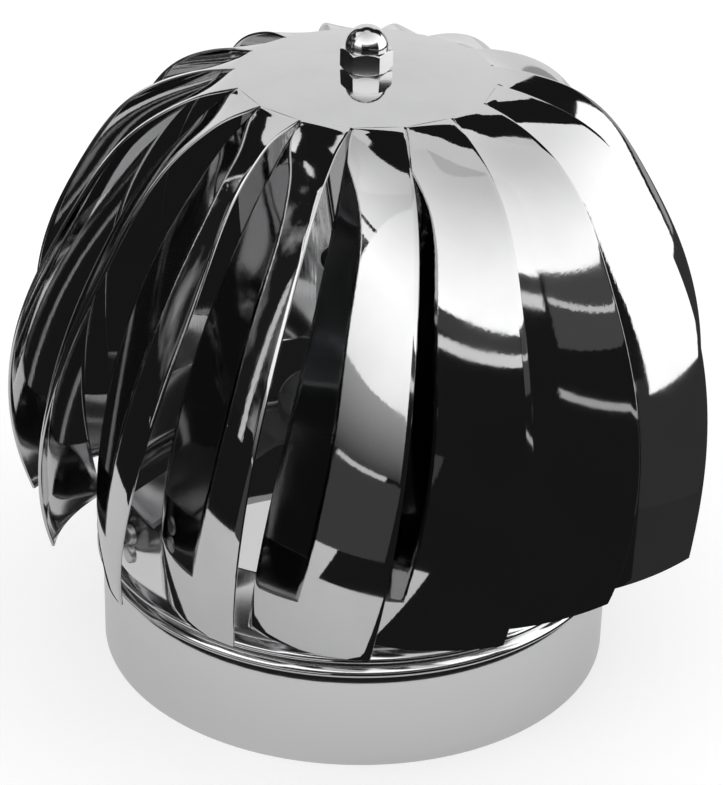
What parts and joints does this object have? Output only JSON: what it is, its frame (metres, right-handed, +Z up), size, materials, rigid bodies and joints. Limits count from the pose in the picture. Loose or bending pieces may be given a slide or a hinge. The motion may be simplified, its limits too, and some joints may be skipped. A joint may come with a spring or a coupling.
{
  "type": "roof turbine ventilator",
  "caption": "Wind driven flue cowl: a globe of leaning steel vanes bent down from a round crown turns on ball bearings above a beaded flue collar.",
  "frame": {"origin": "centre of the collar's lower rim, in the plane of that rim", "axes": "+Z up along the spindle; -Y is the side that faces the camera in the picture; +X is to its right"},
  "size_m": [0.2666, 0.2666, 0.256],
  "materials": {
    "polished_steel": "mirror polished stainless sheet",
    "collar_steel": "bright rolled stainless sheet",
    "plain_steel": "plain mill finish",
    "zinc_steel": "bright zinc plated",
    "nut_steel": "polished stainless",
    "housing_metal": "turned",
    "turned_steel": "turned and ground",
    "bearing_steel": "ground bearing steel",
    "cage_plastic": "moulded nylon",
    "seal_rubber": "moulded rubber"
  },
  "bodies": {
    "base": {"base_collar": "collar_steel", "strut_1": "plain_steel", "strut_2": "plain_steel", "strut_3": "plain_steel", "strut_rivets": "zinc_steel", "strut_screws": "zinc_steel", "bearing_housing": "housing_metal", "housing_cap": "plain_steel", "lower_circlip": "zinc_steel", "upper_circlip": "zinc_steel", "lower_bearing_outer_ring": "bearing_steel", "upper_bearing_outer_ring": "bearing_steel", "lower_bearing_shields": "bearing_steel", "upper_bearing_shields": "bearing_steel"},
    "head": {"crown": "polished_steel", "vane_01": "polished_steel", "vane_02": "polished_steel", "vane_03": "polished_steel", "vane_04": "polished_steel", "vane_05": "polished_steel", "vane_06": "polished_steel", "vane_07": "polished_steel", "vane_08": "polished_steel", "vane_09": "polished_steel", "vane_10": "polished_steel", "vane_11": "polished_steel", "vane_12": "polished_steel", "vane_13": "polished_steel", "vane_14": "polished_steel", "vane_15": "polished_steel", "vane_16": "polished_steel", "crown_washer": "plain_steel", "cap_nut": "nut_steel", "spindle": "turned_steel", "bearing_spacer": "turned_steel", "spindle_seal": "seal_rubber", "lock_washer": "zinc_steel", "lock_nut": "zinc_steel", "lower_bearing_inner_ring": "bearing_steel", "upper_bearing_inner_ring": "bearing_steel"},
    "lower_ball_set": {"lower_bearing_cage": "cage_plastic", "lower_bearing_balls": "bearing_steel"},
    "upper_ball_set": {"upper_bearing_cage": "cage_plastic", "upper_bearing_balls": "bearing_steel"}
  },
  "joints": [
    {"name": "head_spin", "type": "hinge", "parent": "base", "child": "head", "pos_m": [0, 0, 0.122], "axis": [0, 0, 1], "continuous": true},
    {"name": "lower_balls_spin", "type": "hinge", "parent": "base", "child": "lower_ball_set", "pos_m": [0, 0, 0.099], "axis": [0, 0, 1], "continuous": true},
    {"name": "upper_balls_spin", "type": "hinge", "parent": "base", "child": "upper_ball_set", "pos_m": [0, 0, 0.153], "axis": [0, 0, 1], "continuous": true}
  ],
  "couplings": [
    {"joint": "lower_balls_spin", "follows": "head_spin", "ratio": 0.3678},
    {"joint": "upper_balls_spin", "follows": "head_spin", "ratio": 0.3678}
  ]
}
